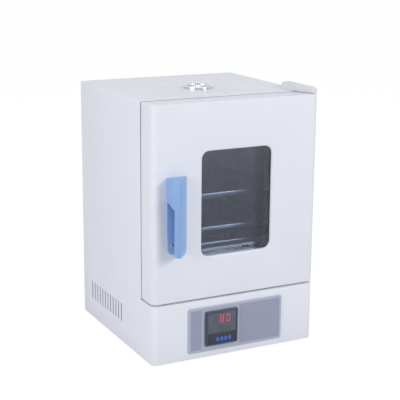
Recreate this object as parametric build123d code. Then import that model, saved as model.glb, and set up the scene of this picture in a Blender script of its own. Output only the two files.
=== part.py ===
from build123d import *
import math
import os

os.makedirs("parts", exist_ok=True)

# A small bench drying oven. +Z is up, the door faces -Y and is hinged on the +X side.
# The origin lies on the bench, under the middle of the whole oven. All sizes are in millimetres.

# Cabinet
cabinet_width = 366.0
cabinet_height = 516.0  # underside of the base to the top sheet
cabinet_depth = 371.0  # door face to back panel
body_sheet = 1.2  # powder-coated steel sheet
front_corner = 12.0  # vertical front corners of the door and the base
sheet_fold = 3.0  # folds at the top and the rear
rear_flange = 14.0  # folded strip that the back panel is screwed to
base_height = 121.0  # underside of the base to the deck below the door
fit_gap = 0.3  # clearance between fitted sheets
frame_flange = 12.0
foot_height = 6.0
foot_radius = 12.0
foot_inset = 40.0
foot_edge = 1.5
rear_reach = 4.0  # what stands out behind the back panel
quarter_turn = 90.0

# Side and bottom air slots
slot_count = 12
slot_pitch = 14.6
slot_width = 3.6
slot_height = 39.0
slot_first = 156.0  # first slot, behind the door face
slot_low = 43.0  # lower slot ends, above the underside of the base
rear_slot_count = 6
rear_slot_length = 70.0
rear_slot_pitch = 9.0
rear_slot_shift = 60.0  # toward the hinge side
base_slot_drop = 80.0  # lowest slot of the base group, below the deck
top_slot_drop = 125.0  # lowest slot of the upper group, below the top
bottom_slot_pitch = 14.4
wire_hole_radius = 9.0
wire_hole_inset = 60.0
wire_hole_setback = 35.0

# Door
door_depth = 50.6
door_gap = 4.0  # door back to front frame
base_gap = 3.8  # deck to door bottom
door_top_gap = 1.0
edge_bevel = 1.2
inner_sheet = 1.0  # stainless sheet
window_side_rail = 105.5  # door skin beside the window
window_top_rail = 95.0
window_bottom_rail = 85.2
window_corner = 16.0
lip_wall = 4.5
lip_depth = 5.0
lip_round = 3.5
glass_thickness = 4.0
glass_lap = 8.0
seal_thickness = 1.0
seal_inset = 1.5
liner_depth = 23.0  # between the two panes
liner_flange = 7.0
inner_glass_lap = 15.0
inner_clear = 11.0  # opening of the inner panel past the window, on each side
inner_corner = 18.0
panel_flange = 10.0
wool_front = 13.0  # insulation starts this far behind the door face
wool_end = 22.0  # room left for the hinge blocks at the top and the bottom

# Hinges
hinge_inset = 10.5  # axis in from the door's right edge
hinge_setback = 32.0  # axis behind the door face
pin_radius = 4.0
pin_length = 12.0
pin_clearance = 0.05
bush_radius = 6.0
bush_length = 13.0
bush_flange_radius = 8.5
bush_flange_gap = 0.3
hinge_plate = 3.0
hinge_block = 3.0
bracket_thickness = 2.7
bracket_reach = 32.0  # lower bracket, from the axis toward the middle
bracket_front = 12.0
bracket_rear = 14.0
bracket_corner = 5.0
block_reach = 22.0  # stiffening plates behind the bushes
block_front = 14.0
cover_height = 12.0
cover_wall = 2.0
cover_overhang = 1.5
cover_width = 26.0
cover_front = 10.0  # tip of the cover behind the door face
cover_shoulder = 54.0  # where the cover reaches its full width
cover_back = 111.0
cover_tip = 9.0  # width of the cover's front tip
cover_step = 1.5  # how much the cover narrows toward the back
cover_edge = 3.0
cover_tip_round = 4.0
cover_shoulder_round = 30.0
cover_rear_round = 9.0
cover_plate_gap = 0.8  # cover to the plate below it

# Handle
handle_length = 152.0
handle_drop = 19.9  # handle's middle below the door's middle
handle_left = 28.0  # from the cabinet's left side
handle_nose = 17.0  # width of the flat front
handle_foot = 43.0  # width where it meets the door
handle_reach = 31.0
handle_wall = 3.0
handle_plate = 3.0
handle_mouth = 91.0  # height of the side opening at the front edge
handle_mouth_rise = 14.0
handle_lean = 2.0  # left wall, from the front edge to the door
handle_slant = 4.0  # left edge of the grip, from the mouth to the lower end
handle_front_round = 5.0
handle_nose_round = 9.0
handle_low_round = 11.0
handle_high_round = 2.5

# Chamber
chamber_side = 58.0  # chamber to the cabinet's outside, on each side
chamber_rear = 61.4
chamber_above = 61.0
chamber_corner = 12.0
chamber_lift = 59.0  # chamber floor above the deck
chamber_sheet = 1.0
chamber_rim = 9.0
gasket_gap = 1.0
gasket_width = 11.0
gasket_height = 3.7
wool_side = 45.0
wool_back = 45.0
wool_clear = 2.0  # behind the front frame's flange
wool_top = 45.0
wire_clear = 1.0  # round what passes the rear wool

# Shelves
shelf_side_gap = 6.0  # shelf to chamber wall
shelf_rear_gap = 35.6
shelf_lip = 12.0
shelf_sheet = 1.0
shelf_setback = 11.4  # shelf front behind the front frame
upper_shelf = 140.0  # top surfaces, above the chamber's floor
lower_shelf = 70.5
floor_shelf = 37.6
hole_size = 18.0
hole_pitch = 34.0
hole_margin = 18.0
seat_gap = 0.3
upright_depth = 4.0
upright_width = 16.0
upright_inset = 30.0
upright_sheet = 1.0
upright_end = 1.0  # short of the chamber's rounded corners
upright_slot_pitch = 40.0
upright_slot_width = 6.0
upright_slot_height = 3.0
upright_slot_first = 16.0
clip_reach = 10.0
clip_width = 11.0
clip_sheet = 1.5
clip_tab = 10.0

# Heater and temperature probe
heater_radius = 3.25
heater_lift = 14.0
heater_half = 70.0  # each heater from the middle
heater_margin = 30.0
bracket_first = 25.0  # first bracket behind the heaters' front ends
bracket_last = 70.0  # last bracket before the chamber's back
heater_tail = 30.0
bracket_sheet = 1.5
bracket_clear = 0.15
bracket_margin = 12.0
bracket_foot = 10.0
probe_radius = 2.5
probe_length = 55.0
probe_tail = 30.0
probe_collar = 3.0
probe_collar_radius = 6.0
probe_drop = 60.0  # below the chamber's top
probe_offset = 70.0

# Vent on the top
vent_setback = 174.0  # vent centre behind the door face
duct_radius = 22.0
duct_wall = 1.0
vent_rim_radius = 30.0
vent_rim_height = 5.5
vent_rim_width = 5.0
vent_rim_edge = 1.8
vent_plate_height = 2.0
vent_window_count = 4
vent_window_inner = 8.0
vent_window_outer = 20.0
vent_window_angle = 44.0
vent_disc_sheet = 1.2
vent_disc_gap = 0.3
vent_knob_radius = 5.5
vent_knob_height = 9.0
vent_knob_sides = 12
vent_knob_edge = 1.2
vent_pivot_radius = 2.0
vent_pivot_length = 6.0

# Control panel
panel_side = 76.5  # cabinet side to the panel
panel_height = 93.5
panel_thickness = 3.0
panel_corner = 5.0
panel_middle = 59.5  # above the underside of the base
panel_rim = 5.0
panel_edge = 1.0
field_clear = 6.0  # controller to the right field
field_depth = 0.6
left_field = 24.0
controller_size = 72.0
controller_shift = -34.0  # controller centre from the oven's middle plane
controller_rise = 1.0
controller_bezel = 5.0
controller_corner = 3.0
controller_edge = 0.8
controller_frame = 3.5
controller_cutout = 68.0
controller_case = 78.0
controller_wall = 2.0
face_thickness = 1.5
face_setback = 0.8
face_gap = 0.1
lens_inset = 1.0
lens_thickness = 0.5
lens_height = 42.0
key_width = 6.8
key_height = 8.6
key_pitch = 9.0
key_shift = 4.0
key_drop = 24.0
key_proud = 1.0
key_travel = 0.8
key_gap = 0.2
key_flange = 0.8
key_rim = 1.4
key_corner = 1.0
key_pocket = 3.0
key_pocket_rise = 1.5
key_pocket_side = 1.0

# Magnetic catch
catch_height = 46.0
catch_width = 10.0
catch_depth = 11.0
catch_proud = 2.9
catch_inset = 15.0
catch_flange = 3.0
catch_flange_side = 2.0
catch_flange_sheet = 1.5
catch_edge = 0.8
strike_corner = 1.0
strike_side = 1.0
strike_thickness = 0.8

# Mains inlet and switch on the back
inlet_inset = 65.0  # from the cabinet's left side
inlet_middle = 66.0  # above the underside of the base
inlet_width = 28.0
inlet_height = 22.0
inlet_depth = 18.0
inlet_flange = 6.0
inlet_proud = 2.0
inlet_wall = 1.8
inlet_corner = 3.0
inlet_cut = 5.0  # cut lower corners of the socket
pin_pitch = 7.0
pin_drop = 2.0  # middle pin below the socket's middle, side pins above it
pin_width = 2.0
pin_height = 4.0
pin_setback = 2.0
switch_pitch = 46.0  # inlet to switch
switch_length = 24.0
switch_width = 15.0
switch_depth = 16.0
rocker_length = 18.0
rocker_width = 11.0
rocker_height = 3.3
rocker_tilt = 10.0
rocker_side_gap = 0.3
rocker_end_gap = 1.2
rocker_well = 11.0
switch_flange = 2.0
switch_proud = 1.0
rocker_pivot_depth = 2.8
rocker_pivot_radius = 1.2
rocker_pivot_reach = 1.3  # into the housing on each side
rocker_pivot_gap = 0.2

# Parts in the base
relay_length = 58.0
relay_width = 45.0
relay_height = 24.0
relay_well = 9.0
relay_well_half = 6.0
relay_well_margin = 5.0
relay_corner = 3.0
terminal_ways = 5
terminal_pitch = 11.0
terminal_width = 24.0
terminal_height = 18.0
terminal_step = 10.8
terminal_ledge = 7.0
terminal_slit = 1.4
terminal_foot = 4.0
limiter_size = 34.0
limiter_height = 30.0
limiter_corner = 4.0
limiter_stem_radius = 5.0
limiter_stem_height = 8.0
relay_setback = 159.0  # from the back panel to the front of each part
terminal_setback = 104.0
limiter_setback = 259.0
relay_shift = 20.0
terminal_inset = 63.0  # from the cabinet's sides
limiter_inset = 83.0

# Places that follow from the sizes above
half_width = cabinet_width / 2
face_y = -(cabinet_depth + rear_reach - handle_reach) / 2
back_y = face_y + cabinet_depth
door_back = face_y + door_depth
frame_y = door_back + door_gap
base_z = foot_height
top_z = base_z + cabinet_height
deck_z = base_z + base_height
door_bottom = deck_z + base_gap
door_top = top_z - door_top_gap
window_width = cabinet_width - 2 * window_side_rail
window_height = door_top - door_bottom - window_top_rail - window_bottom_rail
window_z = door_bottom + window_bottom_rail + window_height / 2
handle_x = -half_width + handle_left
handle_low = (door_bottom + door_top - handle_length) / 2 - handle_drop
handle_high = handle_low + handle_length
handle_mouth_z = handle_low + handle_mouth
inner_fold = sheet_fold - body_sheet * (2 - math.sqrt(2))
hinge_x = half_width - hinge_inset
hinge_y = face_y + hinge_setback
chamber_width = cabinet_width - 2 * chamber_side
chamber_floor = deck_z + chamber_lift
chamber_top = top_z - chamber_above
chamber_height = chamber_top - chamber_floor
chamber_middle = (chamber_floor + chamber_top) / 2
chamber_back = back_y - chamber_rear
probe_z = chamber_top - probe_drop
panel_width = cabinet_width - 2 * panel_side
panel_z = base_z + panel_middle
controller_z = panel_z + controller_rise
controller_y = face_y - panel_thickness - controller_bezel
vent_y = face_y + vent_setback
shelf_front = frame_y + shelf_setback
shelf_back = chamber_back - shelf_rear_gap
shelf_width = chamber_width - 2 * shelf_side_gap
shelf_depth = shelf_back - shelf_front
inlet_x = -half_width + inlet_inset
inlet_z = base_z + inlet_middle
switch_x = inlet_x + switch_pitch


def block(x0, x1, y0, y1, z0, z1):
    """Returns the block between two corners."""
    return Pos((x0 + x1) / 2, (y0 + y1) / 2, (z0 + z1) / 2) * Box(x1 - x0, y1 - y0, z1 - z0)


def upright(radius, x, y, z0, z1):
    """Returns a vertical round bar."""
    return Pos(x, y, (z0 + z1) / 2) * Cylinder(radius, z1 - z0)


def bar_along_y(radius, x, z, y0, y1):
    """Returns a round bar that runs front to back."""
    return Pos(x, (y0 + y1) / 2, z) * Rot(90, 0, 0) * Cylinder(radius, y1 - y0)


def front_panel(width, height, corner, y0, y1, x=0.0, z=0.0):
    """Returns a plate that faces the door side, between two depths, with round or square corners."""
    face = Plane(origin=(x, y0, z), x_dir=(1, 0, 0), z_dir=(0, 1, 0))
    outline = RectangleRounded(width, height, corner) if corner else Rectangle(width, height)
    return extrude(face * outline, amount=y1 - y0)


def cut_panel(width, height, cut, y0, y1, x=0.0, z=0.0):
    """Returns a plate that faces the door side, with its corners cut off at 45 degrees."""
    face = Plane(origin=(x, y0, z), x_dir=(1, 0, 0), z_dir=(0, 1, 0))
    return extrude(face * chamfer(Rectangle(width, height).vertices(), cut), amount=y1 - y0)


def front_ring(width, height, corner, wall, y0, y1, x=0.0, z=0.0):
    """Returns a frame whose opening has the given size."""
    outer_corner = corner + wall if corner else 0
    outer = front_panel(width + 2 * wall, height + 2 * wall, outer_corner, y0, y1, x, z)
    return outer - front_panel(width, height, corner, y0 - 1, y1 + 1, x, z)


def plan_prism(width, y0, y1, front_radius, rear_cut, z0, z1):
    """Returns a vertical prism with rounded front corners and cut rear corners."""
    outline = Pos(0, (y0 + y1) / 2) * Rectangle(width, y1 - y0)
    outline = fillet(outline.vertices().group_by(Axis.Y)[0], front_radius)
    if rear_cut:
        outline = chamfer(outline.vertices().group_by(Axis.Y)[-1], rear_cut)
    return Pos(0, 0, z0) * extrude(outline, amount=z1 - z0)


def foot_places():
    """Returns the centres of the four feet."""
    x = half_width - foot_inset
    return [(side * x, y) for side in (-1, 1) for y in (face_y + foot_inset, back_y - foot_inset)]


# Welded outer cabinet: sides, top and base front
def cabinet_shell():
    outer = plan_prism(cabinet_width, face_y, back_y - body_sheet, front_corner, sheet_fold, base_z, top_z)
    outer = fillet(outer.faces().sort_by(Axis.Z)[-1].edges(), sheet_fold)
    inner = plan_prism(
        cabinet_width - 2 * body_sheet, face_y + body_sheet, back_y - 2 * body_sheet,
        front_corner - body_sheet, inner_fold, base_z - 1, top_z - body_sheet,
    )
    top_edges = inner.faces().sort_by(Axis.Z)[-1].edges()
    shell = outer - chamfer(top_edges, sheet_fold - body_sheet)
    shell -= block(-half_width - 1, half_width + 1, face_y - 1, frame_y, deck_z - body_sheet, top_z + 1)
    clear_x = half_width - sheet_fold - rear_flange
    shell -= block(-clear_x, clear_x, back_y - 2 * body_sheet - 1, back_y, base_z - 1, top_z - rear_flange)
    half_cut = controller_cutout / 2
    shell -= block(
        controller_shift - half_cut, controller_shift + half_cut, face_y - 1, face_y + 2 * body_sheet,
        controller_z - half_cut, controller_z + half_cut,
    )
    shell -= upright(duct_radius + duct_wall + fit_gap, 0, vent_y, top_z - 5, top_z + 5)
    z0 = base_z + slot_low
    slots = []
    for index in range(slot_count):
        y = face_y + slot_first + index * slot_pitch
        for side in (-1, 1):
            x = side * half_width
            slots.append(block(x - 2 * body_sheet, x + 2 * body_sheet, y - slot_width / 2, y + slot_width / 2,
                               z0, z0 + slot_height))
    return shell - slots


def bottom_plate():
    y0 = face_y + body_sheet + fit_gap
    y1 = back_y - 2 * body_sheet - fit_gap
    width = cabinet_width - 2 * (body_sheet + fit_gap)
    plate = plan_prism(width, y0, y1, front_corner - body_sheet, sheet_fold, base_z, base_z + body_sheet)
    for side in (-1, 1):
        x = side * (width / 2 - body_sheet / 2)
        plate += block(
            x - body_sheet / 2, x + body_sheet / 2, face_y + 2 * front_corner, y1 - sheet_fold,
            base_z, base_z + frame_flange,
        )
    first = (y0 + y1) / 2 - (rear_slot_count - 1) / 2 * bottom_slot_pitch
    for index in range(rear_slot_count):
        y = first + index * bottom_slot_pitch
        plate -= block(
            -rear_slot_length / 2, rear_slot_length / 2, y - slot_width / 2, y + slot_width / 2,
            base_z - 1, base_z + 5,
        )
    return plate


def base_deck():
    front = plan_prism(cabinet_width, face_y, frame_y - fit_gap, front_corner, 0, deck_z - body_sheet, deck_z)
    top_edges = front.faces().sort_by(Axis.Z)[-1].edges()
    front = chamfer([edge for edge in top_edges if edge.center().Y < frame_y - 1], body_sheet / 2)
    x = half_width - body_sheet - fit_gap
    y1 = back_y - 2 * body_sheet - sheet_fold
    rear = block(-x, x, frame_y - 2, y1, deck_z - body_sheet, deck_z)
    lip = block(-x, x, y1 - body_sheet, y1, deck_z - frame_flange, deck_z)
    wire_hole = upright(wire_hole_radius, -half_width + wire_hole_inset, back_y - wire_hole_setback,
                        deck_z - 5, deck_z + 5)
    return front + rear + lip - wire_hole


def back_panel():
    x = half_width - sheet_fold
    height = cabinet_height - sheet_fold
    plate = cut_panel(2 * x, height, sheet_fold, back_y - body_sheet, back_y, 0, base_z + height / 2)
    for low in (deck_z - base_slot_drop, top_z - top_slot_drop):
        for index in range(rear_slot_count):
            z = low + index * rear_slot_pitch
            plate -= block(rear_slot_shift - rear_slot_length / 2, rear_slot_shift + rear_slot_length / 2,
                           back_y - 5, back_y + 5, z - slot_width / 2, z + slot_width / 2)
    plate -= inlet_block(fit_gap / 2, back_y - 5, back_y + 5)
    return plate - front_panel(switch_width + fit_gap, switch_length + fit_gap, 0, back_y - 5, back_y + 5,
                               switch_x, inlet_z)


def front_frame():
    half = half_width - body_sheet - fit_gap
    top = top_z - body_sheet - fit_gap
    middle = (deck_z + top) / 2
    frame = cut_panel(2 * half, top - deck_z, sheet_fold, frame_y, frame_y + body_sheet, 0, middle)
    for side in (-1, 1):
        x = side * (half - body_sheet / 2)
        frame += block(x - body_sheet / 2, x + body_sheet / 2, frame_y, frame_y + frame_flange,
                       deck_z + sheet_fold, top - sheet_fold)
    fit = chamber_sheet + fit_gap
    frame -= front_panel(chamber_width + 2 * fit, chamber_height + 2 * fit, chamber_corner + fit,
                         frame_y - 1, frame_y + 5, 0, chamber_middle)
    x = -half_width + catch_inset
    frame -= block(x - catch_width / 2 - fit_gap, x + catch_width / 2 + fit_gap, frame_y - 1, frame_y + 5,
                   window_z - catch_height / 2 - fit_gap, window_z + catch_height / 2 + fit_gap)
    return frame


# Stainless chamber with its rim over the front frame
def inner_chamber():
    wall = chamber_sheet
    box = front_panel(chamber_width + 2 * wall, chamber_height + 2 * wall, chamber_corner + wall,
                      frame_y - wall, chamber_back + wall, 0, chamber_middle)
    rim = wall + chamber_rim
    box += front_panel(chamber_width + 2 * rim, chamber_height + 2 * rim, chamber_corner + rim,
                       frame_y - wall, frame_y, 0, chamber_middle)
    box -= front_panel(chamber_width, chamber_height, chamber_corner, frame_y - wall - 1, chamber_back,
                       0, chamber_middle)
    box -= upright(duct_radius + duct_wall, 0, vent_y, chamber_top - 3, chamber_top + 3)
    box -= bar_along_y(probe_radius, probe_offset, probe_z, chamber_back - 3, chamber_back + 3)
    for side in (-1, 1):
        box -= bar_along_y(heater_radius, side * heater_half, chamber_floor + heater_lift,
                           chamber_back - 3, chamber_back + 3)
    return box


def chamber_insulation():
    wall = chamber_sheet + fit_gap
    y0 = frame_y + frame_flange + wool_clear
    y1 = chamber_back + wall
    y2 = y1 + fit_gap + wool_back
    inside = chamber_width / 2 + wall
    outside = inside + wool_side
    high = chamber_top + wall
    slabs = [block(-inside + fit_gap, inside - fit_gap, y0, y1, deck_z, chamber_floor - wall)]
    for side in (-1, 1):
        x0, x1 = sorted((side * inside, side * outside))
        slabs.append(block(x0, x1, y0, y1, deck_z, high))
    top_slab = block(-outside, outside, y0, y2, high + fit_gap, high + wool_top)
    slabs.append(top_slab - upright(duct_radius + duct_wall + fit_gap, 0, vent_y, high - 1, high + wool_top + 1))
    rear = block(-outside, outside, y1 + fit_gap, y2, deck_z, high)
    passages = [(probe_offset, probe_z, probe_radius)]
    passages += [(side * heater_half, chamber_floor + heater_lift, heater_radius) for side in (-1, 1)]
    for x, z, radius in passages:
        half = radius + wire_clear
        rear -= block(x - half, x + half, y1 - 1, y2 + 1, z - half, z + half)
    slabs.append(rear)
    return slabs


# Silicone door seal round the chamber's rim
def door_gasket():
    rim = chamber_sheet + chamber_rim + gasket_gap
    ring = front_ring(chamber_width + 2 * rim, chamber_height + 2 * rim, chamber_corner + rim, gasket_width,
                      frame_y - gasket_height, frame_y, 0, chamber_middle)
    return chamfer(ring.faces().sort_by(Axis.Y)[0].edges(), gasket_height / 2)


# Perforated plate with its edges folded down
def perforated_plate(top):
    height = shelf_lip
    tray = block(-shelf_width / 2, shelf_width / 2, shelf_front, shelf_back, top - height, top)
    tray = chamfer(tray.faces().sort_by(Axis.Z)[-1].edges(), shelf_sheet)
    tray -= block(-shelf_width / 2 + shelf_sheet, shelf_width / 2 - shelf_sheet,
                  shelf_front + shelf_sheet, shelf_back - shelf_sheet, top - height - 1, top - shelf_sheet)
    row_pitch = hole_pitch * math.sqrt(3) / 2
    rows = int((shelf_depth - 2 * hole_margin) / row_pitch) + 1
    columns = int((shelf_width - 2 * hole_margin) / hole_pitch) + 1
    y0 = (shelf_front + shelf_back) / 2 - (rows - 1) * row_pitch / 2
    holes = []
    for row in range(rows):
        count = columns - row % 2
        for column in range(count):
            x = (column - (count - 1) / 2) * hole_pitch
            hole = Pos(x, y0 + row * row_pitch, top - 3) * RegularPolygon(hole_size / 2, 6)
            holes.append(extrude(hole, amount=6))
    return tray - holes


def shelf_heights():
    """Returns the top surface of the chamber's floor plate and of the two shelves."""
    return [chamber_floor + height for height in (floor_shelf, lower_shelf, upper_shelf)]


def upright_places():
    """Returns the side and the middle depth of each slotted upright."""
    depths = (shelf_front + upright_inset, shelf_back - upright_inset)
    return [(side, y) for side in (-1, 1) for y in depths]


def shelf_uprights():
    channels = []
    z0 = chamber_floor + chamber_corner + upright_end
    z1 = chamber_top - chamber_corner - upright_end
    half = upright_width / 2
    for side, y in upright_places():
        wall_x = side * chamber_width / 2
        face_x = wall_x - side * upright_depth
        x0, x1 = sorted((wall_x, face_x))
        channel = block(x0, x1, y - half, y + half, z0, z1)
        x0, x1 = sorted((wall_x, face_x + side * upright_sheet))
        channel -= block(x0, x1, y - half + upright_sheet, y + half - upright_sheet, z0 - 1, z1 + 1)
        x0, x1 = sorted((face_x - side, face_x + side * 2 * upright_sheet))
        for index in range(int((z1 - z0 - upright_slot_first) / upright_slot_pitch) + 1):
            z = z0 + upright_slot_first + index * upright_slot_pitch
            channel -= block(x0, x1, y - upright_slot_width / 2, y + upright_slot_width / 2,
                             z - upright_slot_height / 2, z + upright_slot_height / 2)
        channels.append(channel)
    return channels


def shelf_clips():
    clips = []
    for side, y in upright_places():
        face_x = side * (chamber_width / 2 - upright_depth)
        for top in shelf_heights():
            seat = top - shelf_lip - seat_gap
            x0, x1 = sorted((face_x, face_x - side * clip_reach))
            clip = block(x0, x1, y - clip_width / 2, y + clip_width / 2, seat - clip_sheet, seat)
            x0, x1 = sorted((face_x, face_x - side * clip_sheet))
            clip += block(x0, x1, y - clip_width / 2, y + clip_width / 2, seat - clip_tab, seat)
            clips.append(clip)
    return clips


# Two straight tubular heaters below the floor plate
def heater_rods():
    front = frame_y + heater_margin
    end = chamber_back + chamber_sheet + heater_tail
    z = chamber_floor + heater_lift
    return [bar_along_y(heater_radius, side * heater_half, z, front, end) for side in (-1, 1)]


def heater_brackets():
    strips = []
    x = heater_half + bracket_margin
    for y in (frame_y + heater_margin + bracket_first, chamber_back - bracket_last):
        strip = block(-x, x, y, y + bracket_sheet, chamber_floor, chamber_floor + heater_lift)
        strip += block(-x, x, y, y + bracket_foot, chamber_floor, chamber_floor + bracket_sheet)
        for side in (-1, 1):
            strip -= bar_along_y(heater_radius + bracket_clear, side * heater_half, chamber_floor + heater_lift,
                                 y - 1, y + 5)
        strips.append(strip)
    return strips


def temperature_probe():
    rod = bar_along_y(probe_radius, probe_offset, probe_z, chamber_back - probe_length, chamber_back + probe_tail)
    return rod + bar_along_y(probe_collar_radius, probe_offset, probe_z, chamber_back - probe_collar, chamber_back)


# Round vent on the top: duct, slotted base, turning disc and knob
def vent_windows(z0, z1):
    """Returns the cutters for the wedge-shaped windows of the vent."""
    cutters = []
    for index in range(vent_window_count):
        middle = 45 + index * 360 / vent_window_count
        corners = []
        for radius, turn in ((vent_window_inner, -1), (vent_window_outer, -1),
                             (vent_window_outer, 1), (vent_window_inner, 1)):
            angle = math.radians(middle + turn * vent_window_angle / 2)
            corners.append((radius * math.cos(angle), radius * math.sin(angle)))
        outline = make_face(Polyline(*corners, close=True))
        cutters.append(Pos(0, vent_y, z0) * extrude(outline, amount=z1 - z0))
    return cutters


def vent_duct():
    tube = upright(duct_radius + duct_wall, 0, vent_y, chamber_top, top_z)
    return tube - upright(duct_radius, 0, vent_y, chamber_top - 1, top_z + 1)


def vent_base():
    rim_in = vent_rim_radius - vent_rim_width
    points = [(0, 0), (vent_rim_radius, 0), (vent_rim_radius, vent_rim_height - vent_rim_edge),
              (vent_rim_radius - vent_rim_edge, vent_rim_height), (rim_in, vent_rim_height),
              (rim_in, vent_plate_height), (0, vent_plate_height)]
    profile = Plane.XZ * make_face(Polyline(*points, close=True))
    ring = Pos(0, vent_y, top_z) * revolve(profile, axis=Axis.Z)
    ring -= vent_windows(top_z - 1, top_z + 5)
    pivot_top = top_z + vent_plate_height + vent_pivot_length
    return ring + upright(vent_pivot_radius, 0, vent_y, top_z + vent_plate_height, pivot_top)


def vent_disc():
    z0 = top_z + vent_plate_height + vent_disc_gap
    radius = vent_rim_radius - vent_rim_width - 2 * vent_disc_gap
    disc = upright(radius, 0, vent_y, z0, z0 + vent_disc_sheet)
    disc -= vent_windows(z0 - 1, z0 + 5)
    return disc - upright(vent_pivot_radius + pin_clearance, 0, vent_y, z0 - 1, z0 + 5)


def vent_knob():
    z0 = top_z + vent_plate_height + vent_disc_gap + vent_disc_sheet
    body = Pos(0, vent_y, z0) * extrude(RegularPolygon(vent_knob_radius, vent_knob_sides), amount=vent_knob_height)
    body = chamfer(body.faces().sort_by(Axis.Z)[-1].edges(), vent_knob_edge)
    bore_top = top_z + vent_plate_height + vent_pivot_length + vent_disc_gap
    return body - upright(vent_pivot_radius + pin_clearance, 0, vent_y, z0 - 1, bore_top)


# Door
def window_edges(part, y):
    """Returns the edges of the window opening that lie at one depth."""
    picked = []
    for edge in part.edges():
        centre = edge.center()
        inside = abs(centre.X) < window_width / 2 + 1 and abs(centre.Z - window_z) < window_height / 2 + 1
        if abs(centre.Y - y) < 0.01 and inside:
            picked.append(edge)
    return picked


def door_outer_panel():
    wall = body_sheet
    outer = plan_prism(cabinet_width, face_y, door_back, front_corner, 0, door_bottom, door_top)
    rims = outer.faces().sort_by(Axis.Z)
    front_edges = [e for f in (rims[0], rims[-1]) for e in f.edges() if e.center().Y < door_back - 1]
    outer = chamfer(front_edges, edge_bevel)
    inner = plan_prism(cabinet_width - 2 * wall, face_y + wall, door_back + 1, front_corner - wall, 0,
                       door_bottom + wall, door_top - wall)
    panel = outer - inner
    panel += front_panel(window_width + 2 * lip_wall, window_height + 2 * lip_wall, window_corner + lip_wall,
                         face_y + wall, face_y + lip_depth, 0, window_z)
    panel -= front_panel(window_width, window_height, window_corner, face_y - 1, face_y + lip_depth + 1,
                         0, window_z)
    panel = fillet(window_edges(panel, face_y), lip_round)
    return panel - upright(bush_radius, hinge_x, hinge_y, door_bottom - 1, door_top + 1)


def window_outer_glass():
    y0 = face_y + lip_depth + seal_thickness
    return front_panel(window_width + 2 * glass_lap, window_height + 2 * glass_lap, 0,
                       y0, y0 + glass_thickness, 0, window_z)


def liner_front():
    """Returns the depth where the window liner starts."""
    return face_y + lip_depth + seal_thickness + glass_thickness


def window_liner():
    y0 = liner_front()
    y1 = y0 + liner_depth
    shape = front_panel(window_width + 2 * inner_sheet, window_height + 2 * inner_sheet,
                        window_corner + inner_sheet, y0, y1, 0, window_z)
    for flange, near in ((liner_flange, y0), (inner_glass_lap - 1, y1 - inner_sheet)):
        shape += front_panel(window_width + 2 * flange, window_height + 2 * flange, 0,
                             near, near + inner_sheet, 0, window_z)
    return shape - front_panel(window_width, window_height, window_corner, y0 - 1, y1 + 1, 0, window_z)


def inner_glass_front():
    """Returns the depth of the inner pane's front face."""
    return liner_front() + liner_depth + seal_thickness


def window_inner_glass():
    y0 = inner_glass_front()
    return front_panel(window_width + 2 * inner_glass_lap, window_height + 2 * inner_glass_lap, 0,
                       y0, y0 + glass_thickness, 0, window_z)


def window_seals():
    """Returns the square-cornered seals, from the outer pane's front to the inner pane's back."""
    front = face_y + lip_depth
    middle = inner_glass_front()
    rear = middle + glass_thickness
    spans = [(seal_inset, glass_lap, front, front + seal_thickness),
             (seal_inset, inner_glass_lap - 1, middle - seal_thickness, middle),
             (inner_clear, inner_glass_lap - 1, rear, rear + seal_thickness)]
    return [front_ring(window_width + 2 * inside, window_height + 2 * inside, 0, outside - inside,
                       y0, y1, 0, window_z)
            for inside, outside, y0, y1 in spans]


def door_inner_panel():
    width = cabinet_width - 2 * (body_sheet + fit_gap)
    height = door_top - door_bottom - 2 * (body_sheet + fit_gap)
    middle = (door_top + door_bottom) / 2
    plate = front_panel(width, height, 0, door_back - inner_sheet, door_back, 0, middle)
    plate += front_ring(width - 2 * inner_sheet, height - 2 * inner_sheet, 0, inner_sheet,
                        door_back - panel_flange, door_back, 0, middle)
    opening = 2 * inner_clear
    y0 = inner_glass_front() + glass_thickness + seal_thickness
    plate += front_panel(window_width + opening + 2 * inner_sheet, window_height + opening + 2 * inner_sheet,
                         inner_corner + inner_sheet, y0, door_back, 0, window_z)
    return plate - front_panel(window_width + opening, window_height + opening, inner_corner,
                               y0 - 1, door_back + 1, 0, window_z)


def door_insulation():
    width = cabinet_width - 2 * (body_sheet + fit_gap + inner_sheet + 1)
    y0 = face_y + wool_front
    y1 = door_back - inner_sheet - fit_gap
    z0 = door_bottom + wool_end
    z1 = door_top - wool_end
    slab = block(-width / 2, width / 2, y0, y1, z0, z1)
    lap = 2 * inner_glass_lap + 2
    return slab - front_panel(window_width + lap, window_height + lap, 0, y0 - 1, y1 + 1, 0, window_z)


# Handle: moulded grip on its base plate
def handle_front(y0, y1):
    """Returns the handle's front outline between two depths: slanted at the lower left, rounded below."""
    corners = [(handle_x, handle_high), (handle_x + handle_foot, handle_high),
               (handle_x + handle_foot, handle_low), (handle_x + handle_slant, handle_low),
               (handle_x, handle_mouth_z)]
    shape = make_face(Polyline(*corners, close=True))
    shape = fillet(shape.vertices().group_by(Axis.Y)[0], handle_low_round)
    shape = fillet(shape.vertices().group_by(Axis.Y)[-1], handle_high_round)
    view = Plane(origin=(0, y1, 0), x_dir=(1, 0, 0), z_dir=(0, -1, 0))
    return extrude(view * shape, amount=y1 - y0)


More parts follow.
